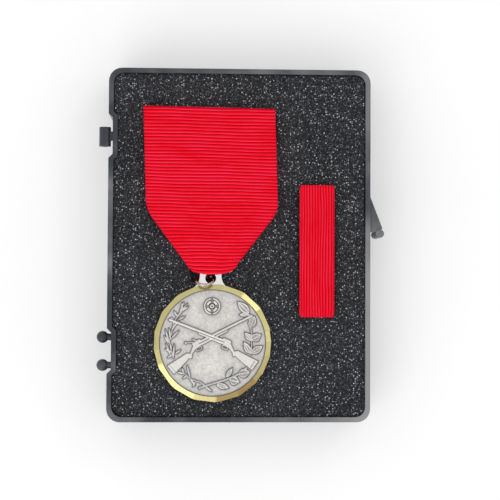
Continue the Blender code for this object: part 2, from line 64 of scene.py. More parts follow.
TRAY_TOP = node_box("case_tray")[1].z
FOAM_LOW, FOAM_HIGH = node_box("foam_insert")
DRAPE_LOW, DRAPE_HIGH = node_box("ribbon_drape")
DISC_LOW, DISC_HIGH = node_box("medal_disc")
BAR_LOW, BAR_HIGH = node_box("bar_ribbon")
RING_LOW, RING_HIGH = node_box("suspension_ring")

# How far the foam swells towards the walls and how lumpy its top is.
FOAM_SWELL = 0.27
FOAM_LUMP = 0.1

# The ribbon's thickness and ribs, and how the bar's wrap swells, droops at its ends and has slipped.
RIBBON = 0.5
RIB_PITCH = 0.885
RIB_DEPTH = 0.2
RIB_START = 40.0
BAR_RIB_PITCH = 0.72
BAR_RIB_DEPTH = 0.22
BAR_WRAP = 0.35
BAR_CROWN = 0.12
BAR_DROOP = 0.5
BAR_SLIP = 0.2

# The drape: sewn a little off centre, tilted, open at the back below, and at its hem bowed, rolled,
# dropped and narrowed.
DRAPE_LEAN = 0.9
DRAPE_WIDTH = DRAPE_HIGH.x - DRAPE_LOW.x - DRAPE_LEAN
DRAPE_X = DRAPE_HIGH.x - DRAPE_WIDTH / 2
DRAPE_SHOULDER = 9.0
DRAPE_TILT = 0.015
DRAPE_BACK_END = -4.9
DRAPE_CROWN = 0.22
HEM_BOW = 0.8
HEM_ROLL = 0.5
HEM_DROP = 0.25
HEM_NARROWING = 0.8

# The medal: its disc, the cuts between the gold rim's facets in degrees, its face and its eyelet tab.
DISC_RADIUS = (DISC_HIGH.x - DISC_LOW.x) / 2
DISC_X = (DISC_HIGH.x + DISC_LOW.x) / 2
DISC_Y = DISC_LOW.y + DISC_RADIUS
RIM_TOP = DISC_HIGH.z
RIM_CUTS = (13, 36, 59, 82, 104, 126, 149, 170, 187, 203, 230, 250, 275, 297, 320, 328, 347, 363)
RIM_FLAT = 0.9875
RIM_SLOPE = 0.42
FACE_RADIUS = DISC_RADIUS - 1.5
FIELD_Z = RIM_TOP - 0.6
RELIEF = 0.5
EYELET = next(Vector(j["pos_m"]) / MM for j in frame["joints"] if j["name"] == "medal_sway")
EYELET_RADIUS = 1.4
TAB_THICKNESS = 0.9

# The floor, just under the tray so that the two faces don't coincide.
FLOOR_Z = -0.05


# ---------------------------------------------------------------- meshes


def smoothstep(low, high, value):
    """0 below low, 1 above high, and a smooth ramp between."""
    t = np.clip((value - low) / (high - low), 0, 1)
    return t * t * (3 - 2 * t)


def new_piece(name, vertices, faces, body, replaced, material, angle=40):
    """A mesh in millimetres as a piece that rides on a body and stands for CAD nodes."""
    mesh = bpy.data.meshes.new(name)
    mesh.from_pydata([tuple(v) for v in np.asarray(vertices) * MM], [], faces)
    mesh.validate()
    builder = bmesh.new()
    builder.from_mesh(mesh)
    bmesh.ops.recalc_face_normals(builder, faces=builder.faces)
    builder.to_mesh(mesh)
    builder.free()
    piece = bpy.data.objects.new(name, mesh)
    bpy.context.scene.collection.objects.link(piece)
    mesh.shade_smooth()
    mesh.set_sharp_from_angle(angle=math.radians(angle))
    mesh.materials.append(material)
    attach(piece, body)
    if replaced:
        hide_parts(*replaced)
    return piece


def grid_faces(rows, columns, wrap=False):
    """Quads between neighbouring rows of points; with wrap, each row closes on itself."""
    faces = []
    across = columns if wrap else columns - 1
    for i in range(rows - 1):
        for j in range(across):
            k = (j + 1) % columns
            faces.append((i * columns + j, i * columns + k, (i + 1) * columns + k, (i + 1) * columns + j))
    return faces


def loft(sections):
    """Vertices and faces of a closed body through rows of points that each form a loop."""
    rows, columns = len(sections), len(sections[0])
    vertices = np.concatenate([np.asarray(s, float) for s in sections])
    faces = grid_faces(rows, columns, wrap=True)
    faces.append(tuple(range(columns)))
    faces.append(tuple(range((rows - 1) * columns, rows * columns)))
    return vertices, faces


def ring_loft(sections):
    """Vertices and faces of a body whose last loop of points joins its first."""
    rows, columns = len(sections), len(sections[0])
    vertices = np.concatenate([np.asarray(s, float) for s in sections])
    faces = grid_faces(rows, columns, wrap=True)
    for j in range(columns):
        k = (j + 1) % columns
        last = (rows - 1) * columns
        faces.append((last + j, last + k, k, j))
    return vertices, faces


def add_attribute(piece, name, values):
    """Store one number per vertex for the material to read."""
    layer = piece.data.attributes.new(name, "FLOAT", "POINT")
    layer.data.foreach_set("value", np.asarray(values, np.float32))


def soften_edges(obj, width, segments=3):
    """Round a part's edges with modifiers, which leave a CAD mesh itself alone."""
    weld = obj.modifiers.new("weld", "WELD")
    weld.merge_threshold = 1e-6
    bevel = obj.modifiers.new("bevel", "BEVEL")
    bevel.width = width * MM
    bevel.segments = segments
    bevel.limit_method = "ANGLE"
    bevel.angle_limit = math.radians(40)
    bevel.harden_normals = True


# ---------------------------------------------------------------- material nodes


class Look:
    """A material's node tree, built by naming each node's inputs."""

    def __init__(self, name):
        self.material = bpy.data.materials.new(name)
        self.material.use_nodes = True
        self.tree = self.material.node_tree
        self.shader = self.tree.nodes["Principled BSDF"]
        place = self.add("ShaderNodeTexCoord").outputs["Object"]
        self.millimetres = self.add(
            "ShaderNodeVectorMath", {0: place, 1: (1 / MM,) * 3}, operation="MULTIPLY"
        ).outputs[0]

    def add(self, kind, inputs=None, **settings):
        """A new node with its settings and inputs, where an input is a value or another socket."""
        node = self.tree.nodes.new(kind)
        for key, value in settings.items():
            setattr(node, key, value)
        for key, value in (inputs or {}).items():
            if isinstance(value, bpy.types.NodeSocket):
                self.tree.links.new(value, node.inputs[key])
            else:
                node.inputs[key].default_value = value
        return node

    def set(self, **inputs):
        """Set the principled shader's inputs, with underscores for spaces."""
        for key, value in inputs.items():
            socket = self.shader.inputs[key.replace("_", " ")]
            if isinstance(value, bpy.types.NodeSocket):
                self.tree.links.new(value, socket)
            else:
                socket.default_value = value

    def math(self, operation, *values):
        inputs = dict(enumerate(values))
        return self.add("ShaderNodeMath", inputs, operation=operation).outputs[0]

    def noise(self, size, detail=2.0, roughness=0.5, stretch=(1, 1, 1)):
        """Noise whose features are about size millimetres across."""
        scaled = self.add(
            "ShaderNodeVectorMath", {0: self.millimetres, 1: stretch}, operation="MULTIPLY"
        ).outputs[0]
        inputs = {"Vector": scaled, "Scale": 1 / size, "Detail": detail, "Roughness": roughness}
        return self.add("ShaderNodeTexNoise", inputs).outputs["Fac"]

    def cells(self, size):
        """A Voronoi pattern whose cells are about size millimetres across."""
        return self.add("ShaderNodeTexVoronoi", {"Vector": self.millimetres, "Scale": 1 / size})

    def remap(self, value, from_low, from_high, to_low, to_high):
        inputs = {0: value, 1: from_low, 2: from_high, 3: to_low, 4: to_high}
        return self.add("ShaderNodeMapRange", inputs).outputs[0]

    def mix(self, factor, first, second):
        inputs = {0: factor, 6: (*first, 1) if isinstance(first, tuple) else first}
        inputs[7] = (*second, 1) if isinstance(second, tuple) else second
        return self.add("ShaderNodeMix", inputs, data_type="RGBA").outputs[2]

    def attribute(self, name):
        return self.add("ShaderNodeAttribute", attribute_name=name).outputs["Fac"]

    def axis(self, letter):
        """One coordinate in millimetres."""
        return self.add("ShaderNodeSeparateXYZ", {0: self.millimetres}).outputs[letter]

    def bump(self, height, depth, strength=1.0):
        """A bump whose height of 1 stands depth millimetres proud."""
        inputs = {"Height": height, "Distance": depth * MM, "Strength": strength}
        return self.add("ShaderNodeBump", inputs).outputs[0]


def rim_rubbing_and_reflection(look):
    """How pale the tray's rim is painted, for rubbing and a painted reflection of the lights: its right
    side below the latch, its front and mid left.
    """
    x, y = look.axis("X"), look.axis("Y")
    right = look.math("MULTIPLY", look.remap(x, 8, 32, 0, 1), look.remap(y, 10, -4, 0.12, 0.32))
    front = look.remap(y, -20, -46, 0, 0.1)
    from_middle = look.math("ABSOLUTE", look.math("SUBTRACT", y, 5.0))
    middle = look.remap(from_middle, 10, 20, 0.26, 0)
    left = look.math("MULTIPLY", middle, look.remap(x, -20, -33, 0, 1))
    return look.math("MAXIMUM", look.math("MAXIMUM", right, left), front)


def black_plastic():
    """Moulded black polystyrene: glossy where clean, paler near the rim with handling haze and a painted
    reflection of the lights, a little dusty.
    """
    look = Look("black_plastic")
    cloud = look.noise(7.0, 4, 0.6)
    grain = look.noise(0.22, 3)
    scratches = look.remap(look.noise(0.5, 2, 0.6, (1, 0.04, 1)), 0.66, 0.72, 0, 1)
    dust = look.remap(look.noise(0.16, 1), 0.74, 0.8, 0, 1)
    # The rim's pale patches are partly handling haze and partly a painted reflection of the lights on its
    # flat top.
    rubbing_and_reflection = look.math("ADD", rim_rubbing_and_reflection(look), look.math("MULTIPLY", cloud, 0.3))
    patch = look.math("ADD", look.noise(30.0, 2), rubbing_and_reflection)
    near_rim = look.remap(look.axis("Z"), TRAY_TOP - 2.5, TRAY_TOP - 0.4, 0.12, 1)
    haze_and_reflection = look.math("MULTIPLY", look.remap(patch, 0.66, 1.05, 0, 1), near_rim)
    base = look.mix(cloud, (0.016, 0.02, 0.028), (0.034, 0.039, 0.05))
    # Pale grey near the rim's top: haze plus a painted reflection of the lights.
    hazed_and_reflecting = look.mix(haze_and_reflection, base, (0.27, 0.27, 0.275))
    dusted = look.mix(look.math("MULTIPLY", dust, 0.4), hazed_and_reflecting, (0.42, 0.43, 0.44))
    colour = look.mix(look.math("MULTIPLY", scratches, 0.15), dusted, (0.25, 0.26, 0.28))
    height = look.math("ADD", look.math("MULTIPLY", grain, 0.6), scratches)
    clean = look.remap(cloud, 0.3, 0.7, 0.26, 0.38)
    gloss = look.math("ADD", clean, look.math("MULTIPLY", haze_and_reflection, 0.2))
    roughness = look.math("ADD", gloss, look.math("MULTIPLY", dust, 0.3))
    look.set(Base_Color=colour, Roughness=roughness, Normal=look.bump(height, 0.012))
    return look.material


def flecks(look, size, share, brightness):
    """Round pale flecks in some of the cells of a pattern, each with its own brightness."""
    cell = look.cells(size)
    chance = look.add("ShaderNodeSeparateColor", {0: cell.outputs["Color"]}).outputs[0]
    core = look.remap(cell.outputs["Distance"], 0.22, 0.4, 1, 0)
    return look.math("MULTIPLY", look.remap(chance, 1 - share, 1.0, 0, brightness), core)


def flecked_foam():
    """Dark crumbly foam, full of tiny open cells that glint pale."""
    look = Look("dark_foam")
    small = flecks(look, 0.3, 0.55, 0.5)
    large = flecks(look, 0.5, 0.34, 1.15)
    bright = look.math("MAXIMUM", small, large)
    fine = look.noise(0.3, 4, 0.75)
    pits = look.remap(look.noise(0.7, 3, 0.7), 0.38, 0.58, 0, 1)
    patch = look.noise(16.0, 3)
    dark = look.mix(look.remap(fine, 0.35, 0.65, 0, 1), (0.009, 0.01, 0.012), (0.045, 0.047, 0.053))
    shaded = look.mix(pits, (0.007, 0.007, 0.009), dark)
    tinted = look.mix(look.remap(patch, 0.3, 0.7, 0, 0.25), shaded, (0.05, 0.052, 0.06))
    colour = look.mix(bright, tinted, (0.62, 0.64, 0.67))
    height = look.math("ADD", look.math("MULTIPLY", fine, 0.7), look.math("MULTIPLY", pits, 0.6))
    look.set(Base_Color=colour, Roughness=0.92, Sheen_Weight=0.08, Normal=look.bump(height, 0.2))
    look.set(Specular_IOR_Level=0.15)
    return look.material


def grosgrain(name, across):
    """Ribbed red ribbon; fine yarns cross the modelled ribs, and across names the ribs' own axis."""
    look = Look(name)
    # The rib attribute carries the ribs' painted light and shade.
    rib = look.attribute("rib")
    yarn_count = look.math("MULTIPLY", look.axis(across), 2 * math.pi / 0.2)
    wander = look.math("MULTIPLY", look.noise(1.2, 2), 5.0)
    yarn = look.math("SINE", look.math("ADD", yarn_count, wander))
    fuzz = look.noise(0.12, 3, 0.7)
    slub = look.noise(2.4, 3, 0.6, (0.25, 1, 1) if across == "X" else (1, 0.25, 1))
    body = look.mix(look.remap(slub, 0.3, 0.7, 0, 1), (0.93, 0.0005, 0.012), (1.0, 0.002, 0.023))
    # Painted highlight on the lit flank of each rib.
    lit_flank = look.math("MULTIPLY", look.remap(rib, 0.72, 1.0, 0, 1), look.remap(slub, 0.35, 0.6, 0.3, 1))
    crest = look.mix(lit_flank, body, (1.0, 0.058, 0.145))
    # Painted shade in the grooves between the ribs.
    shaded = look.mix(look.remap(rib, 0.0, 0.55, 1, 0), crest, (0.22, 0.0, 0.001))
    colour = look.mix(look.remap(yarn, -1, 1, 0, 0.1), shaded, (0.5, 0.0, 0.005))
    height = look.math("ADD", look.math("MULTIPLY", yarn, 0.5), fuzz)
    look.set(Base_Color=colour, Roughness=look.remap(fuzz, 0.3, 0.7, 0.55, 0.7))
    look.set(Sheen_Weight=0.02, Sheen_Roughness=0.4, Sheen_Tint=(1, 0.2, 0.25, 1))
    look.set(Specular_IOR_Level=0.06, Normal=look.bump(height, 0.03))
    return look.material


def struck_silver():
    """Satin silver with dark patina left beside the relief, painted shade in a wider halo beside the
    relief and the rim, and polish on its raised parts with a painted highlight along their edges.
    """
    look = Look("silver_plate")
    line = look.attribute("line")
    shade = look.attribute("shade")
    raised = look.attribute("raised")
    mottle = look.noise(1.3, 3, 0.6)
    grain = look.noise(0.42, 2, 0.7)
    brushed = look.noise(0.25, 3, 0.6, (1, 0.25, 1))
    uneven = look.math("ADD", look.math("MULTIPLY", mottle, 0.4), look.math("MULTIPLY", grain, 0.6))
    field = look.mix(look.remap(uneven, 0.35, 0.62, 0, 1), (0.6, 0.57, 0.54), (0.88, 0.85, 0.81))
    # Polish on raised parts, and a painted highlight along their edges.
    polished = look.mix(look.math("MULTIPLY", raised, 0.9), field, (0.93, 0.905, 0.86))
    # Painted shade beside the relief and inside the rim.
    shaded = look.mix(look.math("MULTIPLY", shade, 0.54), polished, (0.27, 0.28, 0.32))
    stained = look.math("MULTIPLY", line, look.remap(mottle, 0.2, 0.8, 0.8, 1.0))
    colour = look.mix(stained, shaded, (0.03, 0.032, 0.04))
    satin = look.remap(brushed, 0.2, 0.8, 0.42, 0.55)
    roughness = look.math("SUBTRACT", satin, look.math("MULTIPLY", raised, 0.08))
    look.set(Base_Color=colour, Metallic=1.0, Roughness=roughness)
    look.set(Normal=look.bump(look.math("ADD", brushed, mottle), 0.012))
    return look.material


def cut_gold():
    """Gold plate cut to flat facets, with the fine lines the cutter leaves."""
    look = Look("cut_gold")
    lines = look.noise(0.09, 2, 0.5, (1, 1, 6))
    wear = look.noise(2.2, 3)
    clean = look.mix(wear, (0.57, 0.5, 0.2), (0.67, 0.61, 0.3))
    tarnish = look.math("MULTIPLY", look.attribute("tarnish"), look.remap(wear, 0.3, 0.7, 0.6, 1))
    colour = look.mix(tarnish, clean, (0.33, 0.14, 0.04))
    look.set(Base_Color=colour, Metallic=1.0, Roughness=look.remap(lines, 0.3, 0.7, 0.22, 0.32))
    look.set(Normal=look.bump(lines, 0.004))
    return look.material


def brushed_metal(name, dark, light, grain, low, high):
    """A plated metal brushed along its length, with patches of a second colour here and there: stains, and
    on the ring wire a painted reflection of the red ribbon.
    """
    look = Look(name)
    lines = look.noise(0.12, 3, 0.6, grain)
    stain = look.noise(2.5, 4)
    # The patches are stains, except on the ring wire, where they are a painted reflection of the red
    # ribbon.
    look.set(Base_Color=look.mix(stain, dark, light), Metallic=1.0)
    look.set(Roughness=look.remap(look.math("ADD", lines, stain), 0.7, 1.3, low, high))
    look.set(Normal=look.bump(lines, 0.006))
    return look.material


def woven_tape():
    """Plain-woven red tape, its threads crossing over and under each other."""
    look = Look("red_tape")
    warp = look.math("SINE", look.math("MULTIPLY", look.axis("X"), 2 * math.pi / 0.4))
    weft = look.math("SINE", look.math("MULTIPLY", look.axis("Y"), 2 * math.pi / 0.4))
    weave = look.math("MULTIPLY", warp, weft)
    fuzz = look.noise(0.15, 3, 0.7)
    colour = look.mix(look.remap(weave, -0.8, 0.8, 0, 1), (0.3, 0.001, 0.008), (0.72, 0.006, 0.03))
    height = look.math("ADD", weave, look.math("MULTIPLY", fuzz, 0.6))
    look.set(Base_Color=colour, Roughness=look.remap(fuzz, 0.3, 0.7, 0.65, 0.85), Sheen_Weight=0.1)
    look.set(Normal=look.bump(height, 0.04))
    return look.material


def stiff_card():
    """Pressed card with visible fibres."""
    look = Look("pale_card")
    fibre = look.noise(0.3, 4, 0.7, (1, 0.3, 1))
    colour = look.mix(fibre, (0.55, 0.52, 0.45), (0.76, 0.73, 0.66))
    look.set(Base_Color=colour, Roughness=0.88, Normal=look.bump(fibre, 0.04))
    return look.material


def pale_floor():
    """A near-white table with the faintest mottle, which glows a little so that shadows stay pale.
    Its underside is clear, so that the tray can be looked at from below."""
    look = Look("pale_floor")
    mottle = look.noise(60.0, 3)
    look.set(Base_Color=look.mix(mottle, (0.73, 0.73, 0.73), (0.77, 0.77, 0.77)), Roughness=0.8)
    look.set(Specular_IOR_Level=0.1, Normal=look.bump(look.noise(0.8, 2), 0.02))
    look.set(Emission_Color=(1, 1, 1, 1), Emission_Strength=0.27)
    below = look.add("ShaderNodeNewGeometry").outputs["Backfacing"]
    near = look.math("LESS_THAN", look.add("ShaderNodeLightPath").outputs["Ray Length"], MM)
    clear = look.math("MAXIMUM", below, near)
    look.set(Alpha=look.math("SUBTRACT", 1.0, clear))
    return look.material


# ---------------------------------------------------------------- foam


def even_copy(node, name):
    """A copy of a CAD node's shape, remeshed to small even faces and slightly rounded."""
    piece = bpy.data.objects.new(name, frame["nodes"][node].data.copy())
    bpy.context.scene.collection.objects.link(piece)
    weld = piece.modifiers.new("weld", "WELD")
    weld.merge_threshold = 1e-6
    remesh = piece.modifiers.new("remesh", "REMESH")
    remesh.mode = "VOXEL"
    remesh.voxel_size = 0.5 * MM
    smooth = piece.modifiers.new("smooth", "SMOOTH")
    smooth.iterations = 2
    depsgraph = bpy.context.evaluated_depsgraph_get()
    mesh = bpy.data.meshes.new_from_object(piece.evaluated_get(depsgraph))
    piece.modifiers.clear()
    piece.data = mesh
    return piece


def swollen(place, normal):
    """Where a point of the foam ends up: pressed out to the walls, its edges full and its top lumpy."""
    middle, half = (FOAM_LOW + FOAM_HIGH) / 2, (FOAM_HIGH - FOAM_LOW) / 2
    lump = FOAM_LUMP * noise.noise(place * 0.9) + 0.6 * FOAM_LUMP * noise.noise(place * 2.3)
    inset = min(half.x - abs(place.x - middle.x), half.y - abs(place.y - middle.y))
    sideways = Vector((normal.x, normal.y, 0))
    if inset < 2.4 and sideways.length > 0.2:
        shrink = 0.5 * max(0.0, noise.noise(Vector((place.x, place.y, 5)) * 0.06) - 0.15)
        place += sideways.normalized() * (FOAM_SWELL - shrink)
        place += normal * 0.5 * sideways.length * max(0.0, normal.z)
    if place.z > FOAM_HIGH.z - 0.5:
        place.z += lump
    return place


def foam_bed():
    """The foam block swollen against the tray's walls, with soft edges and a lumpy top."""
    piece = even_copy("foam_insert", "foam_bed")
    mesh = piece.data
    normals = [vertex.normal.copy() for vertex in mesh.vertices]
    for vertex, normal in zip(mesh.vertices, normals):
        vertex.co = swollen(vertex.co / MM, normal) * MM
    mesh.shade_smooth()
    mesh.materials.clear()
    mesh.materials.append(flecked_foam())
    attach(piece, "case")
    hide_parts("foam_insert")


# ---------------------------------------------------------------- ribbons


def rib_height(distance, pitch):
    """1 on top of a rib and 0 in the narrow groove between two, at a distance along the ribbon."""
    return np.abs(np.sin(np.pi * distance / pitch)) ** 0.7


def rib_light_and_shade(distance, pitch):
    """Painted rib light and shade: 0 for painted shade in a groove, 1 for a painted highlight on the flank
    above it, between them elsewhere.
    """
    phase = distance / pitch % 1
    groove = smoothstep(0.02, 0.2, np.minimum(phase, 1 - phase))
    lit_flank = np.exp(-(((phase - 0.27) / 0.14) ** 2))
    return groove * (0.68 + 0.32 * lit_flank)


def drape_half_width(y):
    """Half the drape's width at a distance up it, from the slanted folds to the straight woven edges."""
    slope = 0.753
    run = np.minimum(0, y - DRAPE_SHOULDER) * slope
    corner = 0.3 * np.exp(-(((y - DRAPE_SHOULDER) / 1.1) ** 2))
    return DRAPE_WIDTH / 2 + run - corner


def drape_layers(y):
    """The heights of the ribbon's front and back surfaces at a distance up the drape."""
    front, back = DRAPE_HIGH.z, DRAPE_LOW.z
    middle, thick = (front + back) / 2, (front - back) / 2
    over_top = max(0.0, y - (DRAPE_HIGH.y - thick)) / thick
    lift = math.sqrt(max(0.0, 1 - over_top**2))
    upper, lower = middle + thick * lift, middle - thick * lift
    if y < DRAPE_BACK_END:
        lower = front - RIBBON - 0.15
    over_hem = max(0.0, DRAPE_LOW.y + HEM_BOW + HEM_ROLL - y) / HEM_ROLL
    return upper - HEM_DROP * over_hem**2, lower


def drape_fold(tuck, radius, woven):
    """The side of one loop as (outwards, up) steps, round at a fold and slack at a woven edge."""
    side = []
    for i in range(1, 12):
        angle = math.pi * i / 12
        slack = 0.5 * woven * math.sin(angle) ** 6
        side.append((tuck * math.sin(angle) - slack, radius * math.cos(angle)))
    return side


def drape_section(y, bend):
    """One loop of points round the folded ribbon, and each point's painted rib light and shade, at a
    distance up the drape.
    """
    top, bottom = DRAPE_HIGH.y, DRAPE_LOW.y
    centre = DRAPE_X - DRAPE_LEAN * max(0.0, (y - DRAPE_SHOULDER) / (top - DRAPE_SHOULDER))
    half = drape_half_width(y) - HEM_NARROWING * max(0.0, 1 - (y - bottom) / 2) ** 2
    upper, lower = drape_layers(y)
    radius = (upper - lower) / 2
    tilt = DRAPE_TILT * smoothstep(bottom, DRAPE_SHOULDER, y)
    woven = smoothstep(8.0, 10.5, y)
    tuck = radius * (1 - woven) + 0.2 * woven

    across = np.linspace(-1, 1, 110)
    wave = 0.07 * np.sin(across * 4.1 + y * 0.21) + 0.025 * np.sin(across * 11 + y * 0.5)
    distance = y + wave + RIB_START
    rib = rib_height(distance, RIB_PITCH)
    # The ribs' painted light and shade, for the rib attribute.
    tone = rib_light_and_shade(distance, RIB_PITCH)
    crown = DRAPE_CROWN * ((1 - across**4) * smoothstep(0, 3, y - bottom) - 1) - 0.02
    x = across * (half - tuck)
    front_y = y - bend * (1 - across**2) - tilt * x
    front_row = np.stack([centre + x, front_y, upper + crown + RIB_DEPTH * (rib - 1)], 1)

    side = drape_fold(tuck, radius, woven)
    level = (upper + lower) / 2 - 0.12
    right = [(centre + half - tuck + out, y - tilt * half, level + up) for out, up in side]
    left = [(centre - half + tuck - out, y + tilt * half, level + up) for out, up in side[::-1]]

    back_x = across[::-4] * (half - tuck)
    back_rib = RIB_DEPTH / 2 * (1 - rib[::-4])
    back_row = np.stack([centre + back_x, y - tilt * back_x, lower + back_rib], 1)
    loop = np.concatenate([front_row, right, back_row, left])
    tones = np.concatenate([tone, np.full(len(right), tone[-1]), tone[::-4], np.full(len(left), tone[0])])
    return loop, tones


def ribbon_drape():
    """The folded ribbon: ribs across it, woven edges above, folded slants and a soft tip below."""
    sections, tones = [], []
    rows = int((DRAPE_HIGH.y - DRAPE_LOW.y) / RIB_PITCH * 10)
    for i in range(rows + 1):
        y = DRAPE_LOW.y + (DRAPE_HIGH.y - DRAPE_LOW.y) * i / rows
        bend = HEM_BOW * max(0.0, 1 - (y - DRAPE_LOW.y) / 5)
        row_y = min(y + HEM_BOW * max(0.0, 1 - i / 50), DRAPE_HIGH.y - 0.02)
        section, tone = drape_section(row_y, bend)
        sections.append(section)
        tones.append(tone)
    vertices, faces = loft(sections)
    material = grosgrain("red_grosgrain", "X")
    piece = new_piece(
        "drape_ribbon", vertices, faces, "drape", ["ribbon_drape"], material
    )
    add_attribute(piece, "rib", np.concatenate(tones))


def bar_profile():
    """The bar ribbon's wrap from flap end to flap end, as (x, z, outward x, outward z) points and the
    distance along the wrap to each."""
    half, flap = (BAR_HIGH.x - BAR_LOW.x) / 2, 2.4
    radius = 0.75
    low, high = BAR_LOW.z, BAR_HIGH.z
    steps = []

    def line(start, end, normal, count):
        for i in range(count):
            t = i / count
            place = (start[0] + (end[0] - start[0]) * t, start[1] + (end[1] - start[1]) * t)
            steps.append((*place, *normal))

    def corner(middle, start, end, count):
        for i in range(count):
            angle = math.radians(start + (end - start) * i / count)
            out = (math.cos(angle), math.sin(angle))
            steps.append((middle[0] + radius * out[0], middle[1] + radius * out[1], *out))

    line((half - flap, low), (half - radius, low), (0, -1), 16)
    corner((half - radius, low + radius), -90, 0, 9)
    line((half, low + radius), (half, high - radius), (1, 0), 6)
    corner((half - radius, high - radius), 0, 90, 9)
    line((half - radius, high), (-half + radius, high), (0, 1), 90)
    corner((-half + radius, high - radius), 90, 180, 9)
    line((-half, high - radius), (-half, low + radius), (-1, 0), 6)
    corner((-half + radius, low + radius), 180, 270, 9)
    line((-half + radius, low), (-half + flap, low), (0, -1), 17)
    path = np.array(steps)
    gone = np.hypot(*np.diff(path[:, :2], axis=0).T)
    return path, np.concatenate([[0], np.cumsum(gone)])


def bar_layer(path, reach, y):
    """The bar's wrap moved outwards by a reach, at a distance along the bar."""
    centre = (BAR_LOW.x + BAR_HIGH.x) / 2
    return np.stack([centre + path[:, 0] + reach * path[:, 2], y, path[:, 1] + reach * path[:, 3]], 1)


def ribbon_bar():
    """The bar's ribbon, wrapped over the long edges with its ribs running lengthwise."""
    path, distance = bar_profile()
    half = (BAR_HIGH.x - BAR_LOW.x) / 2
    crown = BAR_CROWN * ((1 - (path[:, 0] / half) ** 2) * (path[:, 3] > 0.9) - 1)
    sections, tones = [], []
    rows = 120
    for i in range(rows + 1):
        y = BAR_LOW.y + (BAR_HIGH.y - BAR_LOW.y) * i / rows - BAR_SLIP
        drift = [0.22 * noise.noise(Vector((x * 0.3, y * 0.12, 4.0))) for x in path[:, 0]]
        wave = 0.06 * math.sin(y * 0.2) + np.array(drift)
        rib = rib_height(distance + wave, BAR_RIB_PITCH)
        # The ribs' painted light and shade, for the rib attribute.
        tone = rib_light_and_shade(distance + wave, BAR_RIB_PITCH)
        fray = 0.07 * (1 - rib) * (1 if i == 0 else -1 if i == rows else 0)
        from_end = min(i, rows - i)
        droop = BAR_DROOP * max(0.0, 1 - from_end / 4) ** 2
        reach = BAR_RIB_DEPTH * (rib - 1) - droop + crown
        outer = bar_layer(path, reach, y + fray)
        inner = bar_layer(path, reach - BAR_WRAP, y + fray)
        sections.append(np.concatenate([outer, inner[::-1]]))
        # The wrap's inner face gets half the rib light, a painted shade between ribbon and bar.
        tones.append(np.concatenate([tone, tone[::-1] * 0.5]))
    vertices, faces = loft(sections)
    material = grosgrain("bar_grosgrain", "Y")
    piece = new_piece(
        "bar_ribbon_wrap", vertices, faces, "ribbon_bar", ["bar_ribbon"], material
    )
    add_attribute(piece, "rib", np.concatenate(tones))


# ---------------------------------------------------------------- medal relief


class Relief:
    """Heights over points on the face, given in units of the disc's radius, built up shape by shape."""

    def __init__(self, x, y):
        self.x, self.y = x, y
        self.height = np.zeros_like(x)
        self.gap = np.full_like(x, 9.0)
        self.hollow = np.zeros_like(x)

    def raise_shape(self, distance, height, edge=0.012, extra=0.0):
        """Raise the inside of a shape, given its signed distance, and keep the nearest edge."""
        inside = smoothstep(-edge, 0.25 * edge, -distance)
        shape = inside * (height + extra)
        covered = distance < 0
        self.hollow = np.where(covered, 0, self.hollow)
        kept = np.where(covered, self.height * 0.25, self.height)
        self.height = np.maximum(kept, shape)
        self.gap = np.where(covered, distance, np.minimum(np.abs(self.gap), distance))

    def segment(self, start, end):
        """Distance to a straight line between two points."""
        ax, ay = self.x - start[0], self.y - start[1]
        bx, by = end[0] - start[0], end[1] - start[1]
        along = np.clip((ax * bx + ay * by) / (bx * bx + by * by), 0, 1)
        return np.hypot(ax - along * bx, ay - along * by)

    def polygon(self, points):
        """Signed distance to a polygon, negative inside."""
        nearest = np.full_like(self.x, 9.0)
        inside = np.zeros_like(self.x, bool)
        for (x0, y0), (x1, y1) in zip(points, points[1:] + points[:1]):
            nearest = np.minimum(nearest, self.segment((x0, y0), (x1, y1)))
            crosses = (y0 > self.y) != (y1 > self.y)
            step = (x1 - x0) * (self.y - y0) / ((y1 - y0) or 1e-9) + x0
            inside ^= crosses & (self.x < step)
        return np.where(inside, -nearest, nearest)

    def leaf(self, base, tip, width):
        """A pointed leaf with a midrib and side veins."""
        dx, dy = tip[0] - base[0], tip[1] - base[1]
        length = math.hypot(dx, dy)
        along = ((self.x - base[0]) * dx + (self.y - base[1]) * dy) / length**2
        aside = ((self.y - base[1]) * dx - (self.x - base[0]) * dy) / length
        share = np.clip(along, 0, 1)
        half = width / 2 * np.sin(np.pi * share**0.85) ** 0.8
        past = np.abs(along - share) * length
        distance = np.where(past > 0, np.hypot(past, np.abs(aside)), np.abs(aside) - half)
        if width < 0.06:
            self.raise_shape(distance, 0.62, 0.012)
            return
        border = np.exp(-(((distance + 0.014) / 0.01) ** 2))
        midrib = np.exp(-((aside / 0.009) ** 2)) * (along > 0) * (along < 0.9)
        veins = 0.6 * np.clip(np.cos((share * length - np.abs(aside) * 0.9) * 2 * np.pi / 0.05), 0, 1) ** 3
        ridges = np.maximum(np.maximum(border, midrib), veins * (width > 0.11))
        self.raise_shape(distance, 0.42, 0.012, 0.38 * ridges)
        self.hollow = np.maximum(self.hollow, (distance < -0.01) * (1 - ridges) * 0.75)

    def score(self, distance):
        """A thin dark line cut into whatever is raised."""
        line = np.exp(-((distance / 0.006) ** 2)) * (self.height > 0)
        self.height -= 0.3 * line
        self.hollow = np.maximum(self.hollow, line)

    def stem(self, points, width=0.009):
        for start, end in zip(points, points[1:]):
            self.raise_shape(self.segment(start, end) - width, 0.5, 0.012)

    def arc_band(self, centre, radius, half_width, gaps, gap_width, height):
        """A raised ring with gaps cut at some angles, in degrees."""
        away = np.hypot(self.x - centre[0], self.y - centre[1])
        angle = np.arctan2(self.y - centre[1], self.x - centre[0])
        distance = np.abs(away - radius) - half_width
        for gap in gaps:
            turn = np.angle(np.exp(1j * (angle - math.radians(gap))))
            cut = gap_width - np.abs(turn) * radius
            distance = np.maximum(distance, cut)
        self.raise_shape(distance, height, 0.01)


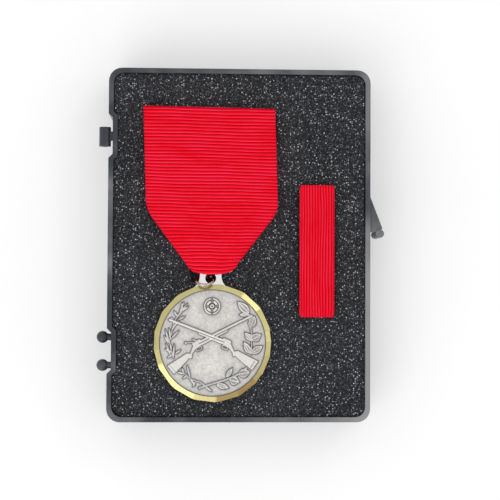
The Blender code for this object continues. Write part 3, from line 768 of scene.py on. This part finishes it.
def draw_target(relief):
    """Rings of a shooting target above the rifles."""
    centre = (-0.012, 0.622)
    relief.arc_band(centre, 0.126, 0.011, (90, 270), 0.012, 0.8)
    relief.arc_band(centre, 0.08, 0.019, (0, 90, 180, 270), 0.024, 0.75)
    relief.arc_band(centre, 0.026, 0.011, (), 0, 0.6)


def draw_wreath(relief):
    """Slender sprays on the left and broad-leaved sprays on the right, as (base, tip, width) leaves."""
    relief.stem([(-0.55, 0.52), (-0.65, 0.36), (-0.69, 0.2), (-0.73, 0.03)])
    relief.stem([(-0.73, 0.03), (-0.7, -0.12), (-0.66, -0.25)])
    relief.stem([(-0.49, -0.5), (-0.37, -0.61), (-0.19, -0.67), (-0.03, -0.8)])
    relief.stem([(0.6, 0.52), (0.64, 0.3), (0.665, 0.1), (0.655, -0.19)])
    relief.stem([(-0.22, -0.76), (0, -0.69), (0.24, -0.62), (0.44, -0.53), (0.58, -0.42)], 0.015)
    slender = [
        ((-0.63, 0.4), (-0.43, 0.67)), ((-0.56, 0.51), (-0.49, 0.69)),
        ((-0.54, 0.53), (-0.41, 0.62)), ((-0.58, 0.39), (-0.47, 0.45)),
        ((-0.65, 0.33), (-0.71, 0.42)), ((-0.69, 0.22), (-0.62, 0.33)),
        ((-0.74, 0.02), (-0.8, 0.23)), ((-0.71, 0.05), (-0.74, 0.25)),
        ((-0.7, 0.07), (-0.57, 0.21)), ((-0.71, -0.21), (-0.79, -0.01)),
        ((-0.66, -0.23), (-0.65, -0.02)), ((-0.69, -0.11), (-0.72, -0.01)),
        ((-0.63, -0.18), (-0.54, -0.12)), ((-0.38, -0.58), (-0.43, -0.38)),
        ((-0.48, -0.52), (-0.6, -0.49)), ((-0.49, -0.5), (-0.51, -0.42)),
        ((-0.37, -0.61), (-0.29, -0.72)), ((-0.11, -0.74), (-0.01, -0.82)),
        ((-0.6, 0.45), (-0.66, 0.54)), ((-0.52, 0.56), (-0.52, 0.68)),
        ((-0.66, 0.27), (-0.59, 0.36)), ((-0.74, 0.0), (-0.82, 0.12)),
        ((-0.69, -0.16), (-0.8, -0.1)), ((-0.68, -0.2), (-0.76, -0.25)),
        ((-0.43, -0.55), (-0.5, -0.6)), ((-0.29, -0.65), (-0.33, -0.74)),
    ]
    for base, tip in slender:
        relief.leaf(base, tip, 0.028)
    broad = [
        ((0.62, 0.51), (0.42, 0.7), 0.14), ((0.62, 0.49), (0.45, 0.48), 0.08),
        ((0.64, 0.26), (0.71, 0.46), 0.13), ((0.66, 0.04), (0.55, 0.18), 0.1),
        ((0.66, 0.05), (0.82, 0.15), 0.14), ((0.64, -0.18), (0.53, 0.02), 0.11),
        ((0.66, -0.17), (0.85, -0.05), 0.12), ((0.24, -0.58), (0.34, -0.42), 0.08),
        ((0.29, -0.62), (0.46, -0.66), 0.15), ((0.44, -0.53), (0.64, -0.49), 0.15),
        ((0.07, -0.7), (0.28, -0.76), 0.1),
    ]
    for base, tip, width in broad:
        relief.leaf(base, tip, width)


def draw_rifle(relief, muzzle, degrees, side, height, forend):
    """A bolt rifle from its muzzle along an angle, with its wood starting at the fore-end's distance;
    side is 1 if the stock hangs to its right."""
    turn = math.radians(degrees)
    along = (math.cos(turn), math.sin(turn))
    up = (-side * along[1], side * along[0])

    def spot(s, t):
        return (muzzle[0] + s * along[0] + t * up[0], muzzle[1] + s * along[1] + t * up[1])

    top = [(forend, -0.005), (1.02, -0.005), (1.11, -0.01), (1.215, -0.115), (1.265, -0.08)]
    butt = [(1.652, -0.122), (1.61, -0.29)]
    belly = [(1.475, -0.25), (1.262, -0.163), (1.23, -0.187), (1.19, -0.125), (1.1, -0.075)]
    stock = top + butt + belly + [(1.0, -0.062), (forend + 0.06, -0.05)]
    guard = relief.segment(spot(1.02, -0.1), spot(1.07, -0.1))
    relief.raise_shape(np.abs(guard - 0.026) - 0.008, 0.55 * height)
    relief.raise_shape(relief.polygon([spot(s, t) for s, t in stock]), height, 0.016)
    relief.score(relief.segment(spot(1.6, -0.135), spot(1.57, -0.265)))
    relief.score(relief.segment(spot(forend + 0.02, -0.024), spot(1.0, -0.024)))
    barrel = relief.segment(spot(0, 0), spot(1.08, 0))
    rounding = 0.25 * np.sqrt(np.clip(1 - (barrel / 0.018) ** 2, 0, 1))
    relief.raise_shape(barrel - 0.016, height, 0.012, rounding)
    relief.raise_shape(relief.segment(spot(0.98, 0.018), spot(1.09, 0.012)) - 0.022, height, 0.012, 0.1)
    relief.raise_shape(relief.segment(spot(0.02, 0.028), spot(0.03, 0.028)) - 0.012, 0.6 * height)
    if side < 0:
        relief.raise_shape(relief.segment(spot(1.06, 0.03), spot(1.2, 0.085)) - 0.007, 0.7 * height)
        relief.raise_shape(relief.segment(spot(1.2, 0.085), spot(1.205, 0.09)) - 0.013, 0.75 * height)
        relief.raise_shape(relief.segment(spot(1.03, 0.04), spot(1.07, 0.085)) - 0.009, 0.7 * height)


def face_relief(x, y):
    """The whole face: wreath below, rifles over it and the target on its own."""
    relief = Relief(x, y)
    draw_target(relief)
    draw_wreath(relief)
    draw_rifle(relief, (0.661, 0.46), 180 + 26.6, -1, 0.85, 0.43)
    draw_rifle(relief, (-0.729, 0.393), -20.9, 1, 1.0, 0.5)
    return relief


# ---------------------------------------------------------------- medal disc


def face_tones(relief, radius):
    """Where the face is lined with dark patina, painted in shade beside the relief and the rim, and
    polished, with a painted highlight along the edges of raised shapes.
    """
    height, hollow = relief.height.ravel(), relief.hollow.ravel()
    gap = np.maximum(relief.gap.ravel(), 0)
    rim_gap = (FACE_RADIUS - radius.ravel()) / DISC_RADIUS
    line = np.exp(-((gap / 0.017) ** 2)) * (height < 0.35)
    line = np.maximum(line, np.exp(-((rim_gap / 0.012) ** 2)))
    line = np.maximum(line, 0.7 * hollow)
    # Painted shade: a halo beside the relief and inside the rim.
    shade = np.maximum(np.exp(-gap / 0.06), 0.9 * np.exp(-np.abs(rim_gap) / 0.09))
    # Painted highlight along the edges of raised shapes.
    border = np.exp(-(((relief.gap.ravel() + 0.008) / 0.008) ** 2))
    raised = smoothstep(0.4, 0.75, height) * (0.7 + 0.3 * border)
    return {"line": line, "shade": shade * (1 - raised), "raised": raised}


def medal_face():
    """The struck silver face, as rings of points whose heights follow the relief."""
    spokes, rings = 640, 124
    turn = np.linspace(0, 2 * np.pi, spokes, endpoint=False)
    reach = np.linspace(0.15, FACE_RADIUS + 0.15, rings)
    radius, angle = np.meshgrid(reach, turn, indexing="ij")
    x, y = radius * np.cos(angle), radius * np.sin(angle)
    relief = face_relief(x / DISC_RADIUS, y / DISC_RADIUS)
    dish = 0.06 * (radius / FACE_RADIUS) ** 2
    z = FIELD_Z + dish + RELIEF * relief.height
    vertices = np.stack([DISC_X + x, DISC_Y + y, z], 2).reshape(-1, 3)
    faces = grid_faces(rings, spokes, wrap=True)
    faces.append(tuple(range(spokes)))
    skirt = vertices[-spokes:] * (1, 1, 0) + (0, 0, FIELD_Z - 0.5)
    start = len(vertices)
    vertices = np.concatenate([vertices, skirt])
    for j in range(spokes):
        k = (j + 1) % spokes
        faces.append((start - spokes + j, start - spokes + k, start + k, start + j))
    faces.append(tuple(range(start, start + spokes)))
    silver = struck_silver()
    piece = new_piece("medal_face", vertices, faces, "medal", ["medal_disc"], silver)
    for name, values in face_tones(relief, radius).items():
        add_attribute(piece, name, np.concatenate([values, np.zeros(spokes)]))


def facet_profile(aside, half, fall):
    """The rim's (radius, z) section at an angle from a facet's middle, whose plane falls outwards."""
    flat = DISC_RADIUS * RIM_FLAT
    inner = FACE_RADIUS + 0.04
    outer = min(flat / math.cos(aside), DISC_RADIUS)
    foot = min(1.1, fall * (flat - inner * math.cos(half)) + 0.02)
    crest = RIM_TOP + min(0.0, fall * (flat - inner * math.cos(aside)) - foot)
    edge = RIM_TOP + fall * (flat - outer * math.cos(aside)) - foot
    profile = [(inner - 0.1, FIELD_Z - 0.2), (inner, crest - 0.03), (inner + 0.03, crest)]
    profile += [(outer, edge), (outer, RIM_TOP - 1.25), (inner - 0.1, RIM_TOP - 1.25)]
    return profile


def medal_rim():
    """The gold rim, cut by hand to flat facets of unequal widths, and browner at the lower right."""
    steps = 14
    cuts = [math.radians(degrees) for degrees in RIM_CUTS]
    cuts.append(cuts[0] + 2 * math.pi)
    sections, tarnish = [], []
    for k, (start, end) in enumerate(zip(cuts, cuts[1:])):
        middle, half = (start + end) / 2, (end - start) / 2
        fall = RIM_SLOPE * (1 + 0.08 * math.sin(2.3 * k))
        stain = 0.85 * math.exp(-(((middle - math.radians(300)) / 0.45) ** 2))
        for i in range(steps):
            angle = start + (end - start) * i / steps
            loop = []
            for radius, z in facet_profile(angle - middle, half, fall):
                loop.append((DISC_X + radius * math.cos(angle), DISC_Y + radius * math.sin(angle), z))
            sections.append(loop)
            tarnish += [stain] * len(loop)
    vertices, faces = ring_loft(sections)
    piece = new_piece(
        "medal_rim", vertices, faces, "medal", ["medal_disc"], cut_gold(), angle=6
    )
    add_attribute(piece, "tarnish", tarnish)


def lathe_sections(profile, steps, centre):
    """Loops of points for a turned profile of (radius, z) pairs."""
    sections = []
    for radius, z in profile:
        loop = []
        for i in range(steps):
            angle = 2 * math.pi * i / steps
            loop.append((centre[0] + radius * math.cos(angle), centre[1] + radius * math.sin(angle), z))
        sections.append(loop)
    return sections


def medal_back(silver):
    """The disc's plain back with a raised border, and its round edge."""
    back, edge = DISC_LOW.z, DISC_RADIUS * (RIM_FLAT - 0.005)
    profile = [(0.2, back + 0.2), (edge - 2.6, back + 0.2), (edge - 2.2, back + 0.02), (edge - 1.0, back)]
    profile += [(edge - 0.25, back + 0.05), (edge, back + 0.3), (edge, RIM_TOP - 1.2)]
    profile += [(edge - 0.4, RIM_TOP - 1.1), (0.2, RIM_TOP - 1.1)]
    vertices, faces = loft(lathe_sections(profile, 128, (DISC_X, DISC_Y)))
    new_piece("medal_back", vertices, faces, "medal", ["medal_disc"], silver)


def plate_with_hole(outline, hole, low, high):
    """A flat plate with one opening, as vertices and faces."""
    builder = bmesh.new()
    edges = []
    for points in (outline, hole):
        loop = [builder.verts.new((x, y, low)) for x, y in points]
        edges += [builder.edges.new((loop[i - 1], loop[i])) for i in range(len(loop))]
    bmesh.ops.triangle_fill(builder, edges=edges, use_beauty=True)
    made = bmesh.ops.extrude_face_region(builder, geom=builder.faces[:])
    moved = [v for v in made["geom"] if isinstance(v, bmesh.types.BMVert)]
    bmesh.ops.translate(builder, verts=moved, vec=(0, 0, high - low))
    bmesh.ops.dissolve_limit(builder, angle_limit=0.01, verts=builder.verts, edges=builder.edges)
    builder.verts.index_update()
    vertices = [tuple(v.co) for v in builder.verts]
    faces = [tuple(v.index for v in f.verts) for f in builder.faces]
    builder.free()
    return vertices, faces


def medal_tab(silver):
    """The eyelet tab that widens into the disc's edge."""
    x = EYELET.x
    foot, neck, rise, shoulder = -13.2, -11.6, 4.2, -7.4
    half, flare = 2.85, 1.9
    outline = [(x - 4.9, foot), (x + 4.9, foot)]
    for side, order in ((1, range(9)), (-1, range(8, -1, -1))):
        for i in order:
            t = i / 8
            reach = half + flare * (1 - t) ** 3
            outline.append((x + side * reach, neck + rise * t))
        if side == 1:
            for i in range(1, 8):
                angle = math.radians(15 + 150 * i / 8)
                outline.append((x + 2.9 * math.cos(angle), shoulder + 1.6 * math.sin(angle)))
    hole = []
    for i in range(40):
        angle = -2 * math.pi * i / 40
        hole.append((x + EYELET_RADIUS * math.cos(angle), EYELET.y + EYELET_RADIUS * math.sin(angle)))
    low = DISC_LOW.z + 0.75
    vertices, faces = plate_with_hole(outline, hole, low, low + TAB_THICKNESS)
    tab = new_piece("medal_tab", vertices, faces, "medal", ["medal_disc"], silver)
    soften_edges(tab, 0.14)


def suspension_ring(material):
    """Round wire bent into a ring, with the fine gap where its ends meet."""
    centre = (RING_LOW + RING_HIGH) / 2
    wire = 0.37
    radius = (RING_HIGH.x - RING_LOW.x) / 2 - 0.4
    lean = math.radians(51.5)
    place = Matrix.Translation(centre) @ Matrix.Rotation(-lean, 4, "X")
    sections = []
    ends, gap = (0.7, 0.9, 1.0), 0.03
    for i in range(121):
        around = 0.5 + gap + (2 * math.pi - 2 * gap) * i / 120
        thick = wire * ends[min(i, 120 - i, 2)]
        loop = []
        for j in range(20):
            across = 2 * math.pi * j / 20
            reach = radius + thick * math.cos(across)
            spot = Vector((reach * math.cos(around), reach * math.sin(around), thick * math.sin(across)))
            loop.append(place @ spot)
        sections.append(loop)
    vertices, faces = loft(sections)
    new_piece("ring_wire", vertices, faces, "ring", ["suspension_ring"], material)


# ---------------------------------------------------------------- carried-over CAD nodes


def refine(node, width, material):
    """Keep a CAD node's shape, round its edges and give it a finished material."""
    part = frame["nodes"][node]
    soften_edges(part, width)
    for slot in part.material_slots:
        slot.material = material


# ---------------------------------------------------------------- stage


def area_light(name, place, size, power, colour=(1, 1, 1)):
    """A square soft light aimed at the tray."""
    light = bpy.data.lights.new(name, "AREA")
    light.size = size
    light.energy = power
    light.color = colour
    lamp = bpy.data.objects.new(name, light)
    lamp.location = place
    lamp.rotation_euler = (-Vector(place)).to_track_quat("-Z", "Y").to_euler()
    bpy.context.scene.collection.objects.link(lamp)


def build_stage():
    """A pale floor just under the tray, an even white world and three soft lights."""
    mesh = bpy.data.meshes.new("floor")
    corners = [(x, y, FLOOR_Z * MM) for x, y in ((-2, -2), (2, -2), (2, 2), (-2, 2))]
    mesh.from_pydata(corners, [], [(0, 1, 2, 3)])
    floor = bpy.data.objects.new("floor", mesh)
    bpy.context.scene.collection.objects.link(floor)
    mesh.materials.append(pale_floor())

    world = bpy.data.worlds.new("studio")
    world.use_nodes = True
    background = world.node_tree.nodes["Background"]
    background.inputs["Color"].default_value = (1, 1, 1, 1)
    background.inputs["Strength"].default_value = 0.84
    bpy.context.scene.world = world

    area_light("key", (-0.45, -0.66, 0.75), 0.8, 2.6)
    area_light("kicker", (0.42, 0.44, 0.6), 0.2, 0.25)
    area_light("fill", (0.62, 0.06, 0.66), 0.16, 0.15)
    bpy.context.scene.view_settings.view_transform = "Standard"


def build_camera():
    """A hand-held camera above the tray, a little nearer to its lower left corner and leaning to it."""
    distance = 380.0
    data = bpy.data.cameras.new("camera")
    data.sensor_width = 36
    data.lens = 2.872 * data.sensor_width
    data.shift_x = -0.04
    data.shift_y = -0.04
    data.clip_start = 0.01
    camera = bpy.data.objects.new("camera", data)
    camera.location = (-10.8 * MM, -11.2 * MM, (TRAY_TOP + distance) * MM)
    camera.rotation_euler = (math.radians(2.27), math.radians(-2.85), math.radians(0.25))
    bpy.context.scene.collection.objects.link(camera)
    bpy.context.scene.camera = camera


# ---------------------------------------------------------------- assembly


def dress():
    """Make or finish every piece, then the stage and the camera."""
    plastic = black_plastic()
    refine("case_tray", 0.25, plastic)
    foam_bed()
    ribbon_drape()
    ribbon_bar()
    medal_face()
    medal_rim()
    silver = brushed_metal("plain_silver", (0.6, 0.59, 0.57), (0.82, 0.81, 0.78), (1, 0.3, 1), 0.24, 0.4)
    medal_back(silver)
    polished = brushed_metal("tab_silver", (0.84, 0.84, 0.83), (0.98, 0.98, 0.97), (1, 0.3, 1), 0.14, 0.26)
    medal_tab(polished)
    # The ring wire's red-brown and pinkish colours are a painted reflection of the red ribbon.
    wire = brushed_metal("bright_wire", (0.22, 0.08, 0.075), (0.8, 0.72, 0.68), (1, 1, 1), 0.08, 0.16)
    suspension_ring(wire)
    nickel = brushed_metal("nickel_plate", (0.5, 0.48, 0.44), (0.72, 0.7, 0.65), (0.2, 1, 1), 0.22, 0.38)
    steel = brushed_metal("pin_steel", (0.5, 0.5, 0.52), (0.72, 0.72, 0.74), (0.2, 1, 1), 0.18, 0.3)
    brass = brushed_metal("clutch_brass", (0.6, 0.42, 0.15), (0.83, 0.64, 0.28), (1, 1, 1), 0.2, 0.38)
    refine("drape_stiffener", 0.05, stiff_card())
    refine("hanger_tape", 0.06, woven_tape())
    for node in ("brooch_plate", "catch_sleeve", "bar_plate"):
        refine(node, 0.08, nickel)
    for node in ("brooch_pin", "pin_rivet", "upper_clutch_post", "lower_clutch_post"):
        refine(node, 0.04, steel)
    for place in ("upper", "lower"):
        for part in ("base", "left_wing", "right_wing"):
            refine(f"{place}_clutch_{part}", 0.08, brass)
    build_stage()
    build_camera()


dress()
